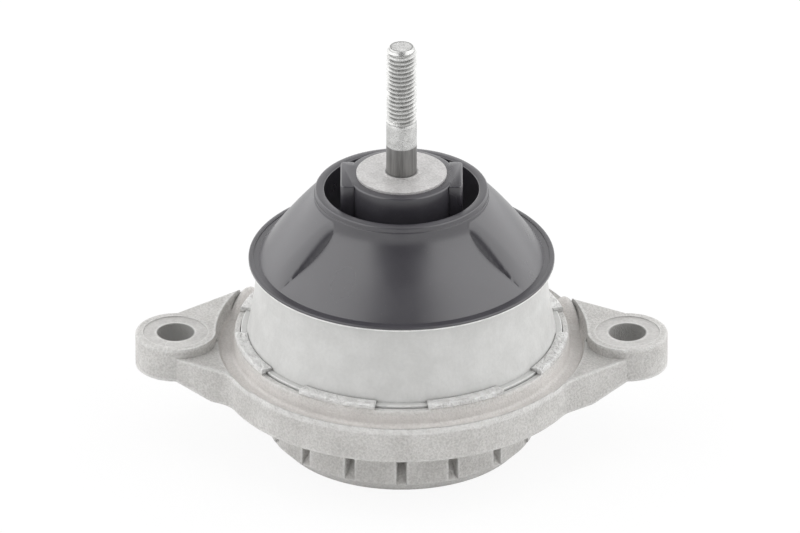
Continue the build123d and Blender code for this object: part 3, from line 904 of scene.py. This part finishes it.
def buildDecoupler(s):
    bm = bmesh.new()
    low, high = [(0, s["bottomZ"])], [(0, s["topZ"])]
    for r in s["rings"]:
        inner, outer = r - s["ringWidth"] / 2, r + s["ringWidth"] / 2
        for side, level, depth in ((low, s["bottomZ"], s["ringDepth"]), (high, s["topZ"], -s["ringDepth"])):
            side += [
                (inner, level), (inner + s["ringSlope"], level + depth),
                (outer - s["ringSlope"], level + depth), (outer, level),
            ]
    wireLoop(bm, low + [(s["radius"], s["bottomZ"]), (s["radius"], s["topZ"])] + high[::-1], closed=False)
    for level in (s["bottomZ"], s["topZ"]):
        roundCorner(bm, s["radius"], level, s["edge"])
    spinEdges(bm, bm.edges[:], s["turns"])
    closeSkin(bm)
    finishPiece(
        bm, "decouplerDisc", finishes["bellowsRubber"], "membrane_rubber", "decoupler", sharpDegrees=50,
    )


buildDecoupler(decouplerSizes)


# Bellows with its thick bead

bellowsSizes = {
    "fold": ((47.0, 27.7), (33.9, 24.5), (31.9, 9.0), (24.0, 9.0), (22.0, 20.5), (0.0, 20.5)),
    "bend": 3.0, "wall": 2.0, "turns": 96,
    "beadInner": 46.0, "beadOuter": 52.6, "beadBottom": 26.2, "beadTop": 29.2,
}


def buildBellows(s):
    bm = bmesh.new()
    wireLoop(bm, s["fold"], closed=False)
    for r, z in s["fold"][1:-1]:
        roundCorner(bm, r, z, s["bend"], segments=6)
    spinEdges(bm, bm.edges[:], s["turns"])
    closeSkin(bm)
    bm.normal_update()
    for vert, normal in [(v, v.normal.copy()) for v in bm.verts]:
        vert.co += normal * s["wall"] / 2 * mm
    bmesh.ops.solidify(bm, geom=bm.faces[:], thickness=s["wall"] * mm)
    bead = wireLoop(bm, [
        (s["beadInner"], s["beadBottom"]), (s["beadOuter"], s["beadBottom"]),
        (s["beadOuter"], s["beadTop"]), (s["beadInner"], s["beadTop"]),
    ])
    spinEdges(bm, bead, s["turns"])
    bmesh.ops.recalc_face_normals(bm, faces=bm.faces[:])
    finishPiece(
        bm, "bellowsMembrane", finishes["bellowsRubber"], "membrane_rubber", "bellows", sharpDegrees=40,
    )


buildBellows(bellowsSizes)


# Floor and studio light; a pair of limits is where a softened step is 0 and where it is 1

studio = {
    "floorHalf": 6.0, "floorColour": 0.9, "floorWhite": 0.9,
    "flagHalf": 0.016, "flagNear": -0.17, "flagFar": -0.32, "flagLift": 0.0005, "flagColour": 0.03,
    "roomLevel": 0.45, "topLevel": 0.9, "sideLevel": 1.95, "horizonLevel": 1.95, "gapLevel": 0.05,
    "flatten": 1.02, "sideAcross": (0.42, 0.66), "sideUp": (0.98, 0.86), "topUp": (0.82, 0.95),
    "horizonBack": (0.3, 0.7), "horizonUp": (0.66, 0.25), "gapAcross": (0.56, 0.34), "gapFront": (-0.1, -0.4),
}


def flatPanel(name, lowX, highX, lowY, highY, z, material):
    bm = bmesh.new()
    bmesh.ops.create_grid(bm, x_segments=1, y_segments=1, size=0.5)
    bmesh.ops.scale(bm, vec=(highX - lowX, highY - lowY, 1), verts=bm.verts[:])
    bmesh.ops.translate(bm, vec=((lowX + highX) / 2, (lowY + highY) / 2, z), verts=bm.verts[:])
    mesh = bpy.data.meshes.new(name)
    bm.to_mesh(mesh)
    bm.free()
    mesh.materials.append(material)
    panel = bpy.data.objects.new(name, mesh)
    scene.collection.objects.link(panel)
    return panel


def newMatt(name, grey):
    material = bpy.data.materials.new(name)
    material.use_nodes = True
    tree = material.node_tree
    tree.nodes.clear()
    output = place(tree, "OutputMaterial")
    matt = place(tree, "BsdfDiffuse", {"Color": (grey, grey, grey, 1)})
    tree.links.new(matt.outputs[0], output.inputs["Surface"])
    return material, tree, matt, output


def buildFloor(s):
    # White to the camera and in reflections, with a matt part that keeps the shadow
    material, tree, matt, output = newMatt("paleFloor", s["floorColour"])
    glow = place(tree, "Emission", {"Color": (1, 1, 1, 1), "Strength": 1.0})
    path = place(tree, "LightPath").outputs
    seen = maths(tree, "MAXIMUM", path["Is Glossy Ray"], path["Is Transmission Ray"])
    seen = maths(tree, "MAXIMUM", seen, path["Is Camera Ray"])
    share = maths(tree, "MULTIPLY", seen, s["floorWhite"])
    mixed = place(tree, "MixShader", links={0: share, 1: matt.outputs[0], 2: glow.outputs[0]})
    tree.links.new(mixed.outputs[0], output.inputs["Surface"])
    half = s["floorHalf"]
    flatPanel("floor", -half, half, -half, half, 0.0, material)

    # Narrow dark flag on the floor in front, which only reflections show
    cloth = newMatt("flagCloth", s["flagColour"])[0]
    half = s["flagHalf"]
    flag = flatPanel("frontFlag", -half, half, s["flagFar"], s["flagNear"], s["flagLift"], cloth)
    flag.visible_camera = False
    flag.visible_diffuse = False
    flag.visible_shadow = False


# Soft studio room: a bright wall on each side, a lit horizon behind and a dark gap over the camera
def buildWorld(s):
    world = bpy.data.worlds.new("studio")
    scene.world = world
    world.use_nodes = True
    tree = world.node_tree
    tree.nodes.clear()
    output = place(tree, "OutputWorld")
    way = place(tree, "SeparateXYZ", links={"Vector": place(tree, "TexCoord").outputs["Generated"]}).outputs
    squared = maths(tree, "MULTIPLY", way["Z"], way["Z"])
    flat = maths(tree, "SQRT", maths(tree, "SUBTRACT", s["flatten"], squared))
    across = maths(tree, "DIVIDE", maths(tree, "ABSOLUTE", way["X"]), flat)

    # A zone is 1 where both its steps are 1
    def zone(first, firstLimits, second, secondLimits):
        steps = softStep(tree, first, *firstLimits), softStep(tree, second, *secondLimits)
        return maths(tree, "MULTIPLY", *steps)

    walls = zone(across, s["sideAcross"], way["Z"], s["sideUp"])
    horizon = zone(way["Y"], s["horizonBack"], way["Z"], s["horizonUp"])
    gap = zone(across, s["gapAcross"], way["Y"], s["gapFront"])
    top = softStep(tree, way["Z"], *s["topUp"])
    level = blendValues(tree, walls, s["roomLevel"], s["sideLevel"])
    for part, brightness in ((top, s["topLevel"]), (horizon, s["horizonLevel"])):
        level = maths(tree, "MAXIMUM", level, maths(tree, "MULTIPLY", part, brightness))
    level = blendValues(tree, gap, level, s["gapLevel"])

    # The room lights the part, and the camera sees plain white
    room = place(tree, "Background", {"Color": (1, 1, 1, 1)}, {"Strength": level})
    white = place(tree, "Background", {"Color": (1, 1, 1, 1), "Strength": 1.0})
    seen = place(tree, "LightPath").outputs["Is Camera Ray"]
    mixed = place(tree, "MixShader", links={0: seen, 1: room.outputs[0], 2: white.outputs[0]})
    tree.links.new(mixed.outputs[0], output.inputs["Surface"])


buildFloor(studio)
buildWorld(studio)
print("floor and light made")


# Camera, far away and long, as the photograph's

view = {
    "elevation": 28.2, "distance": 5.0, "aim": (-0.0005, 0.0, 0.0611),
    "lens": 688.6, "sensor": 36.0, "nearest": 0.1, "farthest": 50.0,
}
cameraData = bpy.data.cameras.new("productCamera")
cameraData.lens = view["lens"]
cameraData.sensor_width = view["sensor"]
cameraData.clip_start = view["nearest"]
cameraData.clip_end = view["farthest"]
camera = bpy.data.objects.new("productCamera", cameraData)
scene.collection.objects.link(camera)
rise = math.radians(view["elevation"])
camera.location = Vector(view["aim"]) + view["distance"] * Vector((0, -math.cos(rise), math.sin(rise)))
camera.rotation_euler = (math.pi / 2 - rise, 0, 0)
scene.camera = camera
scene.view_settings.view_transform = "Standard"
print("camera made")
